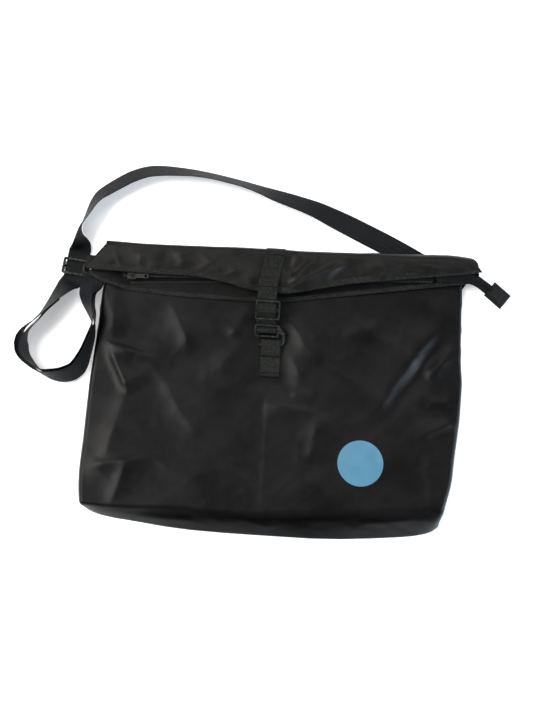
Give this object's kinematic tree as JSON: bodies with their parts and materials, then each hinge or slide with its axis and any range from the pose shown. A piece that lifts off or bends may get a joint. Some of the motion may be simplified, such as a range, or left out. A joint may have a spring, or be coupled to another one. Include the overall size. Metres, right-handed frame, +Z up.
{
  "type": "portfolio case",
  "caption": "Soft fold-over portfolio case lying flat, with open zip, closure strap with adjuster and hook, and a looped shoulder strap.",
  "frame": {"origin": "middle of the back panel's outer face, on the surface that the case lies on", "axes": "+X to the right along the fold, +Y from the bag's bottom towards the fold-over top, +Z up through the front panel"},
  "size_m": [0.6343, 0.4793, 0.0353],
  "materials": {
    "black_nylon": "satin coated nylon",
    "black_webbing": "woven webbing",
    "zip_tape": "woven tape",
    "black_hardware": "moulded, slightly worn",
    "zip_teeth": "moulded teeth",
    "zip_pull_metal": "plated",
    "badge_blue": "printed film"
  },
  "bodies": {
    "bag": {"back_panel": "black_nylon", "front_panel": "black_nylon", "bottom_gusset": "black_nylon", "side_gusset_left": "black_nylon", "side_gusset_right": "black_nylon", "daisy_chain_webbing": "black_webbing", "daisy_chain_eye": "black_webbing", "badge": "badge_blue", "strap_anchor_right": "black_webbing", "ring_tab": "black_webbing", "shoulder_strap_main": "black_webbing", "shoulder_strap_return": "black_webbing"},
    "flap": {"flap_outer_layer": "black_nylon", "flap_inner_layer": "black_nylon", "flap_gusset_left": "black_nylon", "flap_gusset_right": "black_nylon", "outer_hem_binding": "black_webbing", "inner_hem_binding": "black_webbing", "zip_tape_outer": "zip_tape", "zip_tape_inner": "zip_tape", "zip_teeth_outer": "zip_teeth", "zip_teeth_inner": "zip_teeth", "zip_tail": "zip_tape", "zip_end_tab": "black_webbing", "closure_strap_seam": "black_webbing"},
    "closure": {"closure_strap": "black_webbing"},
    "adjuster": {"tri_glide": "black_hardware", "closure_strap_return": "black_webbing"},
    "hook": {"g_hook": "black_hardware", "hook_webbing_loop": "black_webbing"},
    "zip_runner": {"zip_slider": "zip_pull_metal"},
    "pull": {"zip_pull": "zip_pull_metal"},
    "strap_adjuster": {"strap_slider": "black_hardware"},
    "ring": {"strap_ring": "black_hardware"}
  },
  "joints": [
    {"name": "flap_fold", "type": "hinge", "parent": "bag", "child": "flap", "pos_m": [0, 0.168, 0.013], "axis": [-1, 0, 0], "range_deg": [0, 150], "deforming": ["daisy_chain_eye"]},
    {"name": "closure_lift", "type": "hinge", "parent": "flap", "child": "closure", "pos_m": [-0.007, 0.1606, 0.02705], "axis": [-1, 0, 0], "range_deg": [0, 120], "deforming": ["daisy_chain_eye"]},
    {"name": "adjuster_slide", "type": "slide", "parent": "closure", "child": "adjuster", "axis": [0, 0.9789, 0.2045], "range_m": [0, 0.008]},
    {"name": "hook_swing", "type": "hinge", "parent": "closure", "child": "hook", "pos_m": [-0.007, 0.0782, 0.0199], "axis": [-1, 0, 0], "range_deg": [0, 50], "deforming": ["daisy_chain_eye"]},
    {"name": "zip_slide", "type": "slide", "parent": "flap", "child": "zip_runner", "axis": [0.9992, 0.0404, 0], "range_m": [0, 0.05]},
    {"name": "pull_swing", "type": "hinge", "parent": "zip_runner", "child": "pull", "pos_m": [-0.186, 0.1296, 0.02225], "axis": [0, -1, 0], "range_deg": [0, 150]},
    {"name": "strap_adjust", "type": "slide", "parent": "bag", "child": "strap_adjuster", "axis": [0.1184, 0.993, 0], "range_m": [0, 0.006]},
    {"name": "ring_swing", "type": "hinge", "parent": "bag", "child": "ring", "pos_m": [-0.2345, 0.1405, 0.0119], "axis": [0, 0, 1], "range_deg": [-5, 5]}
  ]
}
